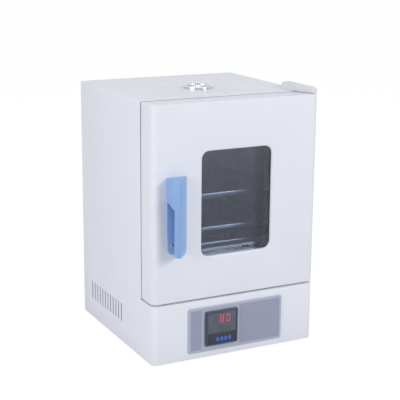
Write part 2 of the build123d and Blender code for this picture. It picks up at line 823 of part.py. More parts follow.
def handle_grip():
    nose = handle_x + handle_nose
    foot = handle_x + handle_foot
    front = face_y - handle_reach
    rear = face_y - handle_plate
    wall = handle_wall

    outline = make_face(Polyline((handle_x + handle_lean, rear), (handle_x, front), (nose, front), (foot, rear),
                                 close=True))
    outline = fillet(outline.vertices().sort_by_distance((handle_x, front, 0))[0], handle_front_round)
    outline = fillet(outline.vertices().sort_by_distance((nose, front, 0))[0], handle_nose_round)
    solid = Pos(0, 0, handle_low) * extrude(outline, amount=handle_length)
    solid = solid & handle_front(front - 1, rear + 1)

    inside = make_face(Polyline(
        (handle_x + handle_lean + wall, rear + 1), (handle_x + wall, front + wall),
        (nose - 1, front + wall), (foot - wall - 1, rear + 1), close=True,
    ))
    solid -= Pos(0, 0, handle_low - 1) * extrude(inside, amount=handle_length + 1 - wall)

    reach = handle_reach - handle_plate + 1.5
    side_view = Plane(origin=(handle_x + handle_lean + wall, rear, handle_mouth_z), x_dir=(0, -1, 0),
                      z_dir=(-1, 0, 0))
    edge = Line((-1, -handle_mouth - 1), (-1, handle_mouth_rise))
    edge += Line((-1, handle_mouth_rise), (0, handle_mouth_rise))
    edge += EllipticalCenterArc((0, 0), reach, handle_mouth_rise, start_angle=0, arc_size=quarter_turn)
    edge += Line((reach, 0), (reach, -handle_mouth - 1))
    edge += Line((reach, -handle_mouth - 1), (-1, -handle_mouth - 1))
    mouth = extrude(side_view * make_face(edge), amount=2 * handle_lean + wall)
    return solid - mouth


def handle_backplate():
    plate = handle_front(face_y - handle_plate, face_y)
    left = handle_x + handle_lean
    return plate & block(left, handle_x + handle_foot, face_y - handle_plate, face_y, handle_low, handle_high)


# Hinges: plate with pin under the cover, bracket with pin on the deck, bushes in the door
def cover_outline(inset):
    """Returns the outline of the hinge cover, drawn in by the inset."""
    right = half_width + cover_overhang
    left = right - cover_width - cover_overhang
    front = face_y + cover_front
    shoulder = face_y + cover_shoulder
    back = face_y + cover_back
    face = make_face(Polyline((right, front), (right - cover_tip, front), (left, shoulder),
                              (left + cover_step, back), (right, back), close=True))
    for x, y, radius in ((right - cover_tip, front, cover_tip_round), (left, shoulder, cover_shoulder_round),
                         (left + cover_step, back, cover_rear_round)):
        face = fillet(face.vertices().sort_by_distance((x, y, 0))[0], radius)
    return offset(face, -inset) if inset else face


def hinge_cover():
    body = Pos(0, 0, top_z) * extrude(cover_outline(0), amount=cover_height)
    body = chamfer(body.faces().sort_by(Axis.Z)[-1].edges(), cover_edge)
    hollow = Pos(0, 0, top_z - 1) * extrude(cover_outline(cover_wall), amount=cover_height + 1 - cover_wall)
    return body - hollow


def hinge_plate_top():
    plate = Pos(0, 0, top_z) * extrude(cover_outline(cover_wall + cover_plate_gap), amount=hinge_plate)
    return plate + upright(pin_radius, hinge_x, hinge_y, top_z - pin_length, top_z)


def hinge_bracket_bottom():
    top = deck_z + bracket_thickness
    plate = block(hinge_x - bracket_reach, half_width - sheet_fold,
                  hinge_y - bracket_front, hinge_y + bracket_rear, deck_z, top)
    plate = chamfer(plate.edges().filter_by(Axis.Z), bracket_corner)
    return plate + upright(pin_radius, hinge_x, hinge_y, top, top + pin_length)


def hinge_bushes():
    bushes = []
    flange_top = top_z - bush_flange_gap
    top = upright(bush_flange_radius, hinge_x, hinge_y, door_top, flange_top)
    top += upright(bush_radius, hinge_x, hinge_y, door_top - bush_length, door_top)
    bushes.append(top)
    flange_low = deck_z + bracket_thickness + bush_flange_gap
    low = upright(bush_flange_radius, hinge_x, hinge_y, flange_low, door_bottom)
    low += upright(bush_radius, hinge_x, hinge_y, door_bottom, door_bottom + bush_length)
    bushes.append(low)
    bore = upright(pin_radius + pin_clearance, hinge_x, hinge_y, deck_z, top_z)
    return [bush - bore for bush in bushes]


def hinge_blocks():
    blocks = []
    x1 = half_width - body_sheet - fit_gap - inner_sheet
    y1 = door_back - panel_flange - fit_gap
    for z in (door_bottom + body_sheet, door_top - body_sheet - hinge_block):
        plate = block(hinge_x - block_reach, x1, hinge_y - block_front, y1, z, z + hinge_block)
        blocks.append(plate - upright(bush_radius, hinge_x, hinge_y, z - 1, z + hinge_block + 1))
    return blocks


# Magnetic catch on the frame and its strike plate on the door
def magnet_catch():
    x = -half_width + catch_inset
    front = frame_y - catch_proud
    half = catch_width / 2
    rise = catch_height / 2
    body = block(x - half, x + half, front, front + catch_depth, window_z - rise, window_z + rise)
    body = chamfer(body.faces().sort_by(Axis.Y)[0].edges(), catch_edge)
    rear = frame_y + body_sheet
    half += catch_flange_side
    return body + block(x - half, x + half, rear, rear + catch_flange_sheet,
                        window_z - rise - catch_flange, window_z + rise + catch_flange)


def strike_plate():
    x = -half_width + catch_inset
    return cut_panel(catch_width + 2 * strike_side, catch_height + 2 * catch_flange, strike_corner, door_back,
                     door_back + strike_thickness, x, window_z)


# Control panel and controller
def field_span(side):
    """Returns the two x limits of the panel's left or right field."""
    edge = panel_width / 2 - panel_rim
    frame = controller_size / 2 + field_clear
    if side < 0:
        return -edge, -edge + left_field
    return controller_shift + frame, edge


def control_panel():
    y0 = face_y - panel_thickness
    plate = front_panel(panel_width, panel_height, panel_corner, y0, face_y, 0, panel_z)
    plate = chamfer(plate.faces().sort_by(Axis.Y)[0].edges(), panel_edge)
    for side in (-1, 1):
        x0, x1 = field_span(side)
        plate -= front_panel(x1 - x0, panel_height - 2 * panel_rim, 0, y0 - 1, y0 + field_depth,
                             (x0 + x1) / 2, panel_z)
    half = controller_cutout / 2
    return plate - block(controller_shift - half, controller_shift + half, y0 - 1, face_y + 1,
                         controller_z - half, controller_z + half)


def key_places():
    """Returns the x positions of the four keys."""
    return [controller_shift + key_shift + (index - 1.5) * key_pitch for index in range(4)]


def controller_body():
    y0 = controller_y
    rear = y0 + controller_bezel
    size = controller_size
    bezel = front_panel(size, size, controller_corner, y0, rear, controller_shift, controller_z)
    bezel = chamfer(bezel.faces().sort_by(Axis.Y)[0].edges(), controller_edge)
    inner = size - 2 * controller_frame
    recess = face_setback + face_thickness
    bezel -= front_panel(inner, inner, 0, y0 - 1, y0 + recess, controller_shift, controller_z)
    wall = controller_wall
    case_size = controller_cutout - 2 * fit_gap
    hollow = case_size - 2 * wall
    case = front_panel(case_size, case_size, 0, rear, rear + controller_case, controller_shift, controller_z)
    case -= front_panel(hollow, hollow, 0, rear + wall, rear + controller_case - wall,
                        controller_shift, controller_z)
    z = controller_z - key_drop
    x = controller_shift + key_shift
    reach = 2 * key_pitch + key_pocket_side
    rise = key_height / 2 + key_pocket_rise
    return bezel + case - block(x - reach, x + reach, y0 + recess, y0 + recess + key_pocket, z - rise, z + rise)


def controller_face():
    y0 = controller_y + face_setback
    inner = controller_size - 2 * controller_frame - 2 * face_gap
    plate = front_panel(inner, inner, 0, y0, y0 + face_thickness, controller_shift, controller_z)
    z = controller_z - key_drop
    rise = key_height / 2 + key_gap
    for x in key_places():
        half = key_width / 2 + key_gap
        plate -= block(x - half, x + half, y0 - 1, y0 + 5, z - rise, z + rise)
    return plate


def display_lens():
    y0 = controller_y + face_setback
    inner = controller_size - 2 * (controller_frame + lens_inset)
    z = controller_z + inner / 2 - lens_height / 2
    return front_panel(inner, lens_height, 0, y0 - lens_thickness, y0, controller_shift, z)


def controller_key(x):
    y0 = controller_y + face_setback - key_proud
    z = controller_z - key_drop
    back = controller_y + face_setback + face_thickness + key_gap
    cap = cut_panel(key_width, key_height, key_corner, y0, back, x, z)
    return cap + front_panel(key_width + key_rim, key_height + key_rim, 0, back, back + key_flange, x, z)


# Mains inlet and switch
def inlet_block(margin, y0, y1):
    """Returns the socket's outline with its two cut lower corners, grown by a margin, between two depths."""
    face = Plane(origin=(inlet_x, y0, inlet_z), x_dir=(1, 0, 0), z_dir=(0, 1, 0))
    shape = Rectangle(inlet_width + 2 * margin, inlet_height + 2 * margin)
    return extrude(face * chamfer(shape.vertices().group_by(Axis.Y)[-1], inlet_cut), amount=y1 - y0)


def power_inlet():
    front = back_y - inlet_depth
    body = inlet_block(0, front, back_y)
    body += front_panel(inlet_width + 2 * inlet_flange, inlet_height + inlet_flange, inlet_corner,
                        back_y, back_y + inlet_proud, inlet_x, inlet_z)
    body -= inlet_block(-inlet_wall, front + inlet_wall, back_y + 5)
    for index in (-1, 0, 1):
        x = inlet_x + index * pin_pitch
        z = inlet_z + (pin_drop if index else -pin_drop)
        body += block(x - pin_width / 2, x + pin_width / 2, front, back_y - pin_setback,
                      z - pin_height / 2, z + pin_height / 2)
    return body


def rocker_outline():
    """Returns the rocker's V-shaped side outline, with y outward and x up, round its pivot."""
    half = rocker_length / 2
    rise = half * math.tan(math.radians(rocker_tilt))
    top = rocker_height
    points = [(-half, -top), (half, -top), (half, top + rise), (0, top), (-half, top + rise)]
    return make_face(Polyline(*points, close=True))


def switch_housing():
    z = inlet_z
    body = front_panel(switch_width, switch_length, 0, back_y - switch_depth, back_y, switch_x, z)
    body += cut_panel(switch_width + 2 * switch_flange, switch_length + 2 * switch_flange, switch_flange,
                      back_y, back_y + switch_proud, switch_x, z)
    body -= front_panel(rocker_width + 2 * rocker_side_gap, rocker_length + 2 * rocker_end_gap, 0,
                        back_y - rocker_well, back_y + 5, switch_x, z)
    pivot = Pos(switch_x, back_y - rocker_pivot_depth, z) * Rot(0, 90, 0)
    length = rocker_width + 2 * (rocker_pivot_reach + rocker_pivot_gap)
    return body - pivot * Cylinder(rocker_pivot_radius + pin_clearance, length)


def power_rocker():
    z = inlet_z
    side = Plane(origin=(switch_x - rocker_width / 2, back_y - rocker_pivot_depth, z),
                 x_dir=(0, 0, 1), z_dir=(-1, 0, 0))
    body = extrude(side * Rot(0, 0, rocker_tilt) * rocker_outline(), amount=-rocker_width)
    pivot = Pos(switch_x, back_y - rocker_pivot_depth, z) * Rot(0, 90, 0)
    return body + pivot * Cylinder(rocker_pivot_radius, rocker_width + 2 * rocker_pivot_reach)


# Parts in the base
def solid_state_relay():
    z0 = base_z + body_sheet
    x0 = relay_shift
    y0 = back_y - relay_setback
    body = block(x0, x0 + relay_length, y0, y0 + relay_width, z0, z0 + relay_height)
    body = chamfer(body.edges().filter_by(Axis.Z), relay_corner)
    for x in (x0 + relay_well, x0 + relay_length - relay_well):
        body -= block(x - relay_well_half, x + relay_well_half,
                      y0 + relay_well_margin, y0 + relay_width - relay_well_margin,
                      z0 + relay_height - relay_well_half, z0 + relay_height + 1)
    return body


def terminal_block():
    z0 = base_z + body_sheet
    x0 = terminal_inset - half_width
    y0 = back_y - terminal_setback
    length = terminal_ways * terminal_pitch
    body = block(x0, x0 + length, y0, y0 + terminal_width, z0, z0 + terminal_step)
    body += block(x0, x0 + length, y0 + terminal_ledge, y0 + terminal_width - terminal_ledge,
                  z0, z0 + terminal_height)
    half = terminal_slit / 2
    for index in range(terminal_ways - 1):
        x = x0 + (index + 1) * terminal_pitch
        body -= block(x - half, x + half, y0 - 1, y0 + terminal_width + 1, z0 + terminal_foot,
                      z0 + terminal_height + 1)
    return body


def overheat_limiter():
    z0 = base_z + body_sheet
    x0 = half_width - limiter_inset
    y0 = back_y - limiter_setback
    top = z0 + limiter_height
    body = block(x0, x0 + limiter_size, y0, y0 + limiter_size, z0, top)
    body = chamfer(body.edges().filter_by(Axis.Z), limiter_corner)
    return body + upright(limiter_stem_radius, x0 + limiter_size / 2, y0 + limiter_size / 2,
                          top, top + limiter_stem_height)


def rubber_foot(x, y):
    body = upright(foot_radius, x, y, 0, foot_height)
    return chamfer(body.edges().group_by(Axis.Z)[0], foot_edge)


def rubber_feet():
    return [rubber_foot(x, y) for x, y in foot_places()]


nodes = {
    "cabinet_shell": cabinet_shell(),
    "bottom_plate": bottom_plate(),
    "base_deck": base_deck(),
    "back_panel": back_panel(),
    "front_frame": front_frame(),
    "inner_chamber": inner_chamber(),
    "chamber_insulation": chamber_insulation(),
    "door_gasket": door_gasket(),
    "floor_plate": perforated_plate(shelf_heights()[0]),
    "shelf_lower": perforated_plate(shelf_heights()[1]),
    "shelf_upper": perforated_plate(shelf_heights()[2]),
    "shelf_uprights": shelf_uprights(),
    "shelf_clips": shelf_clips(),
    "heater_rods": heater_rods(),
    "heater_brackets": heater_brackets(),
    "temperature_probe": temperature_probe(),
    "vent_duct": vent_duct(),
    "vent_base": vent_base(),
    "vent_disc": vent_disc(),
    "vent_knob": vent_knob(),
    "door_outer_panel": door_outer_panel(),
    "door_inner_panel": door_inner_panel(),
    "door_insulation": door_insulation(),
    "window_outer_glass": window_outer_glass(),
    "window_inner_glass": window_inner_glass(),
    "window_liner": window_liner(),
    "window_seals": window_seals(),
    "handle_grip": handle_grip(),
    "handle_backplate": handle_backplate(),
    "hinge_cover": hinge_cover(),
    "hinge_plate_top": hinge_plate_top(),
    "hinge_bracket_bottom": hinge_bracket_bottom(),
    "hinge_bushes": hinge_bushes(),
    "hinge_blocks": hinge_blocks(),
    "magnet_catch": magnet_catch(),
    "strike_plate": strike_plate(),
    "control_panel": control_panel(),
    "controller_body": controller_body(),
    "controller_face": controller_face(),
    "display_lens": display_lens(),
    "power_inlet": power_inlet(),
    "switch_housing": switch_housing(),
    "power_rocker": power_rocker(),
    "solid_state_relay": solid_state_relay(),
    "terminal_block": terminal_block(),
    "overheat_limiter": overheat_limiter(),
    "rubber_feet": rubber_feet(),
}
for index, x in enumerate(key_places()):
    nodes[f"controller_key_{index + 1}"] = controller_key(x)

for name, shape in nodes.items():
    solid = Compound(shape) if isinstance(shape, list) else shape
    export_step(solid, f"parts/{name}.step")
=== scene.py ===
import bmesh
import bpy
import math
from mathutils import Matrix, Vector


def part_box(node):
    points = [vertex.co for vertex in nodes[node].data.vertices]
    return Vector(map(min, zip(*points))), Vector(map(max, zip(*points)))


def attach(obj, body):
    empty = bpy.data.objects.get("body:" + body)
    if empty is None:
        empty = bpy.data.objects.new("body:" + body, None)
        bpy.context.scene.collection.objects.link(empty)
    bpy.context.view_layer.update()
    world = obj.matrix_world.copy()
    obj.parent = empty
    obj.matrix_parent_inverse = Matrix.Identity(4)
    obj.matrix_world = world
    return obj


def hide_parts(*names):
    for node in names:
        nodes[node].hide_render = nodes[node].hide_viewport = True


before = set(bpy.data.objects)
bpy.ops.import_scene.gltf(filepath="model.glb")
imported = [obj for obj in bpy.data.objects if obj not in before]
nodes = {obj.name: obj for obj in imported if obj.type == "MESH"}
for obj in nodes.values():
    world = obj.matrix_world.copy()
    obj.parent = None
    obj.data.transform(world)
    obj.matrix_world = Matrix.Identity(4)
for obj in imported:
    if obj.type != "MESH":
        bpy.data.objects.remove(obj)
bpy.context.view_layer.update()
mm = 0.001
print("frame loaded:", len(nodes), "solids")


def srgb(code):
    parts = [int(code[i:i + 2], 16) / 255 for i in (1, 3, 5)]
    return [c / 12.92 if c <= 0.04045 else ((c + 0.055) / 1.055) ** 2.4 for c in parts] + [1.0]


def addNode(tree, kind, settings=None, links=None):
    node = tree.nodes.new(kind)
    for key, value in (settings or {}).items():
        if isinstance(key, int) or key in node.inputs:
            node.inputs[key].default_value = value
        else:
            setattr(node, key, value)
    for key, source in (links or {}).items():
        tree.links.new(source, node.inputs[key])
    return node


# One surface recipe: two close colours in soft patches, a grain in the bump and a slight change of roughness
def makeMaterial(name, look):
    material = bpy.data.materials.new(name)
    material.use_nodes = True
    tree = material.node_tree
    tree.nodes.clear()
    place = addNode(tree, "ShaderNodeTexCoord").outputs["Object"]
    if "stretch" in look:
        mapping = addNode(tree, "ShaderNodeMapping", {"Scale": look["stretch"]}, {"Vector": place})
        place = mapping.outputs["Vector"]
    patches = addNode(tree, "ShaderNodeTexNoise",
                      {"Scale": 1 / (look["patchMm"] * mm), "Detail": 3.0}, {"Vector": place})
    colours = addNode(tree, "ShaderNodeMix",
                      {"data_type": "RGBA", 6: srgb(look["colour"]), 7: srgb(look["shade"])},
                      {0: patches.outputs["Fac"]})
    grain = addNode(tree, "ShaderNodeTexNoise",
                    {"Scale": 1 / (look["grainMm"] * mm), "Detail": look.get("grainDetail", 2.0)},
                    {"Vector": place})
    rough = addNode(tree, "ShaderNodeMapRange", {"To Min": look["rough"][0], "To Max": look["rough"][1]},
                    {"Value": grain.outputs["Fac"]})
    bump = addNode(tree, "ShaderNodeBump", {"Strength": look["bump"], "Distance": look["reliefMm"] * mm},
                   {"Height": grain.outputs["Fac"]})
    shader = addNode(tree, "ShaderNodeBsdfPrincipled", {"Metallic": look.get("metal", 0.0)},
                     {"Base Color": colours.outputs[2], "Roughness": rough.outputs["Result"],
                      "Normal": bump.outputs["Normal"]})
    addNode(tree, "ShaderNodeOutputMaterial", None, {"Surface": shader.outputs["BSDF"]})
    return material


materialLooks = {
    # polyester powder coat, sprayed and baked: a cool white with a faint orange peel and a soft sheen
    "whitePowderCoat": {"colour": "#E9EBF1", "shade": "#E5E7EE", "patchMm": 90, "grainMm": 2.2,
                        "rough": (0.38, 0.46), "reliefMm": 0.05, "bump": 0.12},
    # ABS, injection moulded: a smooth sky-blue with a slight cloudiness
    "blueMouldedAbs": {"colour": "#8FB2E2", "shade": "#86A9DB", "patchMm": 30, "grainMm": 1.2,
                       "rough": (0.36, 0.44), "reliefMm": 0.03, "bump": 0.15},
    # ABS, injection moulded: a slightly greyer off-white than the cabinet
    "paleGreyMouldedAbs": {"colour": "#E2E3E6", "shade": "#DADBDF", "patchMm": 25, "grainMm": 1.0,
                           "rough": (0.40, 0.48), "reliefMm": 0.03, "bump": 0.15},
    # polycarbonate film, printed on its back: a flat grey-lilac with a fine matt texture
    "lilacPrintedFilm": {"colour": "#B2B7C9", "shade": "#ACB1C3", "patchMm": 40, "grainMm": 0.8,
                         "rough": (0.42, 0.52), "reliefMm": 0.03, "bump": 0.2},
    # polycarbonate film, the panel's two printed fields: a shade deeper than their border
    "lilacFieldFilm": {"colour": "#9B9FB5", "shade": "#959AAF", "patchMm": 40, "grainMm": 0.8,
                       "rough": (0.42, 0.52), "reliefMm": 0.03, "bump": 0.2},
    # flame-retardant ABS, moulded with a spark-eroded texture: dull slate grey
    "slateMouldedAbs": {"colour": "#434B59", "shade": "#3E4653", "patchMm": 15, "grainMm": 0.7,
                        "rough": (0.45, 0.58), "reliefMm": 0.04, "bump": 0.3},
    # polyester overlay, screen printed: dark blue-grey round the keys
    "darkPrintedOverlay": {"colour": "#333B43", "shade": "#2F373F", "patchMm": 20, "grainMm": 0.6,
                           "rough": (0.38, 0.48), "reliefMm": 0.02, "bump": 0.2},
    # acrylic window, cast and tinted: smooth grey with clear reflections
    "smokedAcrylic": {"colour": "#5B606A", "shade": "#565B65", "patchMm": 30, "grainMm": 3.0,
                      "rough": (0.12, 0.18), "reliefMm": 0.01, "bump": 0.1},
    # silicone rubber, compression moulded: blue keys with a velvety surface
    "blueSiliconeKeys": {"colour": "#4C66BE", "shade": "#455EB4", "patchMm": 4, "grainMm": 0.4,
                         "rough": (0.45, 0.55), "reliefMm": 0.02, "bump": 0.2},
    # brass, spun and chrome plated: bright mirror with a faint unevenness
    "platedChrome": {"colour": "#D5D7DA", "shade": "#CACCD0", "patchMm": 12, "grainMm": 0.5, "metal": 1.0,
                     "rough": (0.08, 0.16), "reliefMm": 0.01, "bump": 0.1},
    # stainless steel, cold rolled and brushed front to back: grey with long fine lines
    "brushedStainless": {"colour": "#B9BDC3", "shade": "#A9ADB4", "patchMm": 35, "grainMm": 0.9, "metal": 1.0,
                         "stretch": (1.0, 0.05, 1.0), "rough": (0.26, 0.42), "reliefMm": 0.02, "bump": 0.2},
    # stainless steel, bright annealed: the window liner's near-mirror walls
    "brightStainless": {"colour": "#C3C6CC", "shade": "#B7BAC1", "patchMm": 50, "grainMm": 1.5, "metal": 1.0,
                        "rough": (0.10, 0.18), "reliefMm": 0.01, "bump": 0.15},
    # steel sheet, hot-dip galvanised: flat grey with faint crystals
    "galvanisedSteel": {"colour": "#A9AEB3", "shade": "#93989E", "patchMm": 9, "grainMm": 2.5, "metal": 1.0,
                        "rough": (0.38, 0.55), "reliefMm": 0.02, "bump": 0.2},
    # Incoloy tube, drawn and oxidised in use: dull brown-grey
    "oxidisedTube": {"colour": "#4B4642", "shade": "#3B3733", "patchMm": 14, "grainMm": 0.8, "metal": 1.0,
                     "rough": (0.45, 0.65), "reliefMm": 0.03, "bump": 0.3},
    # bearing brass, turned: warm yellow with a fine roughness
    "turnedBrass": {"colour": "#C8A65C", "shade": "#B9964D", "patchMm": 6, "grainMm": 0.5, "metal": 1.0,
                    "rough": (0.22, 0.34), "reliefMm": 0.02, "bump": 0.2},
    # silicone rubber, extruded: soft even grey
    "greySilicone": {"colour": "#A6A7A8", "shade": "#9C9D9F", "patchMm": 20, "grainMm": 1.0,
                     "rough": (0.55, 0.68), "reliefMm": 0.04, "bump": 0.3},
    # nitrile rubber, moulded: black feet with a dusty bloom
    "blackFootRubber": {"colour": "#222325", "shade": "#2C2D2F", "patchMm": 8, "grainMm": 0.8,
                        "rough": (0.65, 0.8), "reliefMm": 0.05, "bump": 0.4},
    # glass wool, needled into slabs: pale yellow fibres
    "needledGlassWool": {"colour": "#DCCF96", "shade": "#C9B979", "patchMm": 18, "grainMm": 2.5,
                         "grainDetail": 8.0, "rough": (0.85, 0.95), "reliefMm": 1.5, "bump": 0.8},
    # nylon 66, moulded: matt black of the mains parts
    "blackMouldedNylon": {"colour": "#1B1C1E", "shade": "#232427", "patchMm": 10, "grainMm": 0.6,
                          "rough": (0.42, 0.55), "reliefMm": 0.03, "bump": 0.3},
    # nylon 66, moulded: natural white of the relay and the catch
    "whiteMouldedNylon": {"colour": "#DEDDD8", "shade": "#D4D3CD", "patchMm": 10, "grainMm": 0.6,
                          "rough": (0.40, 0.52), "reliefMm": 0.03, "bump": 0.3},
    # steel screws, cold headed and zinc plated: small bright heads
    "zincPlatedSteel": {"colour": "#C2C5C6", "shade": "#B2B5B8", "patchMm": 2, "grainMm": 0.4, "metal": 1.0,
                        "rough": (0.24, 0.36), "reliefMm": 0.01, "bump": 0.2},
    # display segments that are off: a little darker than the acrylic round them
    "darkSegments": {"colour": "#4B4F52", "shade": "#474B4E", "patchMm": 6, "grainMm": 0.8,
                     "rough": (0.3, 0.4), "reliefMm": 0.01, "bump": 0.1},
}
materials = {name: makeMaterial(name, look) for name, look in materialLooks.items()}


# display segments that are on: an even rose-red glow on the face of the acrylic
litLook = {"colour": "#C93B4A", "shade": "#D24655", "patchMm": 5, "grainMm": 0.8, "rough": (0.3, 0.4),
           "reliefMm": 0.01, "bump": 0.1, "glow": "#C8485F", "glowStrength": 0.35}


def makeLitSegments():
    material = makeMaterial("litRedSegments", litLook)
    shader = next(n for n in material.node_tree.nodes if n.type == "BSDF_PRINCIPLED")
    shader.inputs["Emission Color"].default_value = srgb(litLook["glow"])
    shader.inputs["Emission Strength"].default_value = litLook["glowStrength"]
    return material


# soda-lime float glass: clear, with a faint cool tint and a thin film of dust
glassLook = {"colour": "#D8DEEA", "ior": 1.52, "filmMm": 60, "filmDetail": 4.0, "filmRough": 0.04}


def makeWindowGlass():
    material = bpy.data.materials.new("floatGlass")
    material.use_nodes = True
    tree = material.node_tree
    tree.nodes.clear()
    place = addNode(tree, "ShaderNodeTexCoord").outputs["Object"]
    film = addNode(tree, "ShaderNodeTexNoise",
                   {"Scale": 1 / (glassLook["filmMm"] * mm), "Detail": glassLook["filmDetail"]},
                   {"Vector": place})
    rough = addNode(tree, "ShaderNodeMapRange", {"To Min": 0.0, "To Max": glassLook["filmRough"]},
                    {"Value": film.outputs["Fac"]})
    glass = addNode(tree, "ShaderNodeBsdfPrincipled",
                    {"Base Color": srgb(glassLook["colour"]), "IOR": glassLook["ior"],
                     "Transmission Weight": 1.0},
                    {"Roughness": rough.outputs["Result"]})
    addNode(tree, "ShaderNodeOutputMaterial", None, {"Surface": glass.outputs["BSDF"]})
    return material


materials["litRedSegments"] = makeLitSegments()
materials["floatGlass"] = makeWindowGlass()
print("materials made:", len(materials))

nodeFinish = {
    "cabinet_shell": "whitePowderCoat", "base_deck": "whitePowderCoat", "back_panel": "whitePowderCoat",
    "front_frame": "whitePowderCoat", "door_outer_panel": "whitePowderCoat",
    "bottom_plate": "galvanisedSteel", "hinge_plate_top": "galvanisedSteel",
    "hinge_bracket_bottom": "galvanisedSteel", "hinge_blocks": "galvanisedSteel",
    "strike_plate": "galvanisedSteel", "inner_chamber": "brushedStainless", "floor_plate": "brushedStainless",
    "shelf_lower": "brushedStainless", "shelf_upper": "brushedStainless",
    "shelf_uprights": "brushedStainless", "shelf_clips": "brushedStainless",
    "vent_duct": "brushedStainless", "door_inner_panel": "brushedStainless",
    "heater_brackets": "brushedStainless", "temperature_probe": "brushedStainless",
    "window_liner": "brightStainless",
    "heater_rods": "oxidisedTube", "hinge_bushes": "turnedBrass",
    "chamber_insulation": "needledGlassWool", "door_insulation": "needledGlassWool",
    "window_outer_glass": "floatGlass", "window_inner_glass": "floatGlass",
    "door_gasket": "greySilicone", "window_seals": "greySilicone", "rubber_feet": "blackFootRubber",
    "handle_grip": "blueMouldedAbs", "handle_backplate": "blueMouldedAbs",
    "hinge_cover": "paleGreyMouldedAbs",
    "control_panel": "lilacPrintedFilm", "controller_body": "slateMouldedAbs",
    "controller_face": "darkPrintedOverlay", "display_lens": "smokedAcrylic",
    "vent_base": "platedChrome", "vent_disc": "platedChrome", "vent_knob": "platedChrome",
    "power_inlet": "blackMouldedNylon", "switch_housing": "blackMouldedNylon",
    "power_rocker": "blackMouldedNylon", "overheat_limiter": "blackMouldedNylon",
    "terminal_block": "blackMouldedNylon",
    "magnet_catch": "whiteMouldedNylon", "solid_state_relay": "whiteMouldedNylon",
}
for index in range(4):
    nodeFinish[f"controller_key_{index + 1}"] = "blueSiliconeKeys"

# Softened edges in mm: folded sheet, mouldings and small parts each have their own
edgeSoftness = {
    "cabinet_shell": 0.5, "base_deck": 0.5, "back_panel": 0.4, "door_outer_panel": 0.8, "front_frame": 0.4,
    "handle_grip": 1.2, "handle_backplate": 0.6, "hinge_cover": 1.4, "control_panel": 0.5,
    "controller_body": 0.4, "controller_face": 0.15, "display_lens": 0.15, "door_gasket": 0.8,
    "hinge_bracket_bottom": 0.4, "hinge_plate_top": 0.4, "power_inlet": 0.5, "switch_housing": 0.4,
    "power_rocker": 0.5, "magnet_catch": 0.4, "door_inner_panel": 0.4, "window_liner": 0.3,
    "inner_chamber": 0.3, "strike_plate": 0.2, "solid_state_relay": 0.6, "terminal_block": 0.4,
    "overheat_limiter": 0.6, "bottom_plate": 0.4,
}
for index in range(4):
    edgeSoftness[f"controller_key_{index + 1}"] = 0.5

edgeStyle = {"steps": 3, "sharpDeg": 35, "weldMm": 0.01}


def joinPoints(piece):
    weld = piece.modifiers.new("joinPoints", "WELD")
    weld.merge_threshold = edgeStyle["weldMm"] * mm


def soften(piece, widthMm):
    joinPoints(piece)
    bevel = piece.modifiers.new("softEdges", "BEVEL")
    bevel.width = widthMm * mm
    bevel.segments = edgeStyle["steps"]
    bevel.limit_method = "ANGLE"
    bevel.angle_limit = math.radians(edgeStyle["sharpDeg"])
    bevel.harden_normals = True


def shadeSmooth(mesh):
    for polygon in mesh.polygons:
        polygon.use_smooth = True
    mesh.set_sharp_from_angle(angle=math.radians(edgeStyle["sharpDeg"]))


for name, node in nodes.items():
    node.data.materials.clear()
    node.data.materials.append(materials[nodeFinish[name]])
    if name in edgeSoftness:
        for polygon in node.data.polygons:
            polygon.use_smooth = True
        soften(node, edgeSoftness[name])
for name in ("window_outer_glass", "window_inner_glass"):
    nodes[name].visible_shadow = False  # the lamps reach the chamber through the panes
print("solids dressed")


# Makes an object from points in mm, already in the frame's place
def addPiece(name, points, faces, finish, body, replaced=(), slot=None):
    mesh = bpy.data.meshes.new(name)
    mesh.from_pydata([[c * mm for c in p] for p in points], [], faces)
    mesh.validate()
    fixer = bmesh.new()
    fixer.from_mesh(mesh)
    bmesh.ops.recalc_face_normals(fixer, faces=fixer.faces)
    fixer.to_mesh(mesh)
    fixer.free()
    shadeSmooth(mesh)
    mesh.materials.append(materials[finish])
    piece = bpy.data.objects.new(name, mesh)
    bpy.context.scene.collection.objects.link(piece)
    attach(piece, body)
    if replaced:
        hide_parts(*replaced)
    return piece


def boxMm(node):
    low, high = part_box(node)
    return [c / mm for c in low], [c / mm for c in high]


# Angles in radians, in even steps from 0 to a turn in degrees
def arc(turnDeg, steps):
    return [math.radians(turnDeg) / steps * i for i in range(steps + 1)]


# A flat slab: an outline of x and z between two depths
def slabMm(outline, front, back):
    count = len(outline)
    points = [(x, y, z) for y in (front, back) for x, z in outline]
    faces = [tuple(range(count)), tuple(range(2 * count - 1, count - 1, -1))]
    faces += [(i, i + count, (i + 1) % count + count, (i + 1) % count) for i in range(count)]
    return points, faces


# Adds one more shape to a mesh's points and faces
def addShape(points, faces, morePoints, moreFaces):
    start = len(points)
    points += morePoints
    faces += [tuple(start + i for i in face) for face in moreFaces]


# Turns a profile of radius and height round a vertical axis
def latheMm(profile, centre, steps, closed=False):
    points = []
    for step in range(steps):
        angle = 2 * math.pi * step / steps
        across, along = math.cos(angle), math.sin(angle)
        points += [(centre[0] + r * across, centre[1] + r * along, centre[2] + z) for r, z in profile]
    count = len(profile)
    spans = count if closed else count - 1
    faces = []
    for step in range(steps):
        here = step * count
        there = (step + 1) % steps * count
        for i in range(spans):
            j = (i + 1) % count
            faces.append((here + i, there + i, there + j, here + j))
    return points, faces


trayStyle = {"holeMm": 10.0, "pitchMm": 19.0, "marginMm": 9.0, "foldMm": 1.6, "sheetMm": 1.0,
             "holePoints": 16, "foldSteps": 4, "slackMm": 0.001}


